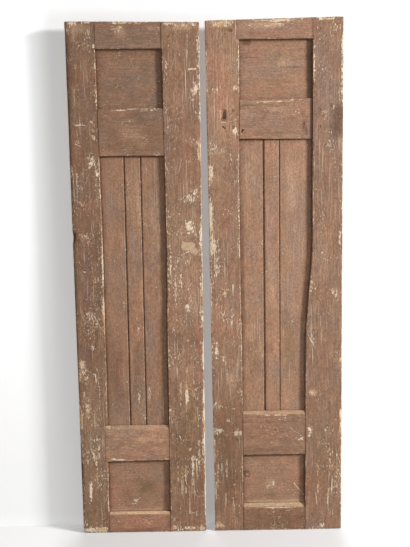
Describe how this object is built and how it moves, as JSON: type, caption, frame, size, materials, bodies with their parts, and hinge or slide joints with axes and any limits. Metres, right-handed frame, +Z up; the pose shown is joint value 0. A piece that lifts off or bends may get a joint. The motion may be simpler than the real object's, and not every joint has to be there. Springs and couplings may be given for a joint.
{
  "type": "pair of frame-and-panel closet doors",
  "caption": "Pair of worn brown painted wooden closet door leaves, each a pegged stile-and-rail frame with flat top and bottom panels and upright boards between.",
  "frame": {"origin": "middle of the pair at the level of the leaves' feet, half-way through their thickness", "axes": "+X across the pair to the right seen from the front, +Y from the front to the back, +Z up"},
  "size_m": [0.954, 0.032, 1.834],
  "materials": {
    "frame_paint": "worn matt brown paint over softwood, chipped to pale undercoat",
    "panel_paint": "worn matt brown paint over thin boards",
    "peg_wood": "painted end grain"
  },
  "bodies": {
    "root": {"left_hinge_stile": "frame_paint", "left_meeting_stile": "frame_paint", "left_bottom_rail": "frame_paint", "left_lower_rail": "frame_paint", "left_upper_rail": "frame_paint", "left_top_rail": "frame_paint", "left_bottom_panel": "panel_paint", "left_top_panel": "panel_paint", "left_hinge_board": "panel_paint", "left_middle_board": "panel_paint", "left_meeting_board": "panel_paint", "left_pegs": "peg_wood", "right_hinge_stile": "frame_paint", "right_meeting_stile": "frame_paint", "right_bottom_rail": "frame_paint", "right_lower_rail": "frame_paint", "right_upper_rail": "frame_paint", "right_top_rail": "frame_paint", "right_bottom_panel": "panel_paint", "right_top_panel": "panel_paint", "right_hinge_board": "panel_paint", "right_middle_board": "panel_paint", "right_meeting_board": "panel_paint", "right_pegs": "peg_wood"}
  },
  "joints": []
}
